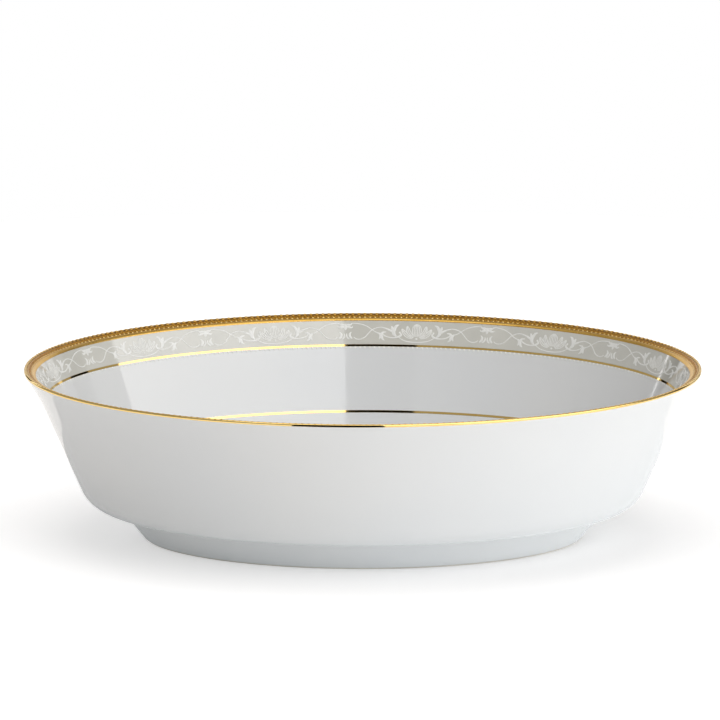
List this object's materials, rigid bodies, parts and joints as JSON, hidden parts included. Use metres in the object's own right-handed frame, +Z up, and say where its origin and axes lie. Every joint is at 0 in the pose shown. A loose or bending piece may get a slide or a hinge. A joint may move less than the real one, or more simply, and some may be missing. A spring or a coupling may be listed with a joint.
{
  "type": "oval serving bowl",
  "caption": "Deep oval white porcelain serving bowl on a foot ring, with an etched gold rim band, a raised white scroll frieze and two thin gold lines inside.",
  "frame": {"origin": "centre of the oval, on the table plane that the foot ring stands on", "axes": "+X along the bowl's length, +Y across its width, +Z up"},
  "size_m": [0.2451, 0.186, 0.0631],
  "materials": {
    "biscuit": "matte",
    "glaze": "gloss",
    "burnished_gold": "polished",
    "etched_gold": "satin",
    "greige_ground": "satin",
    "raised_enamel": "gloss"
  },
  "bodies": {
    "root": {"porcelain_body": "biscuit", "foot_ring": "biscuit", "glaze_coat": "glaze", "glaze_underside": "glaze", "lip_gold_edge": "burnished_gold", "gold_band_beading": "etched_gold", "gold_band_etched": "etched_gold", "gold_band_inner_line": "burnished_gold", "frieze_ground": "greige_ground", "frieze_blossoms": "raised_enamel", "frieze_leaves": "raised_enamel", "frieze_florets": "raised_enamel", "frieze_stems": "raised_enamel", "frieze_gold_line": "burnished_gold", "enamel_dot_row": "raised_enamel", "well_gold_line": "burnished_gold"}
  },
  "joints": []
}
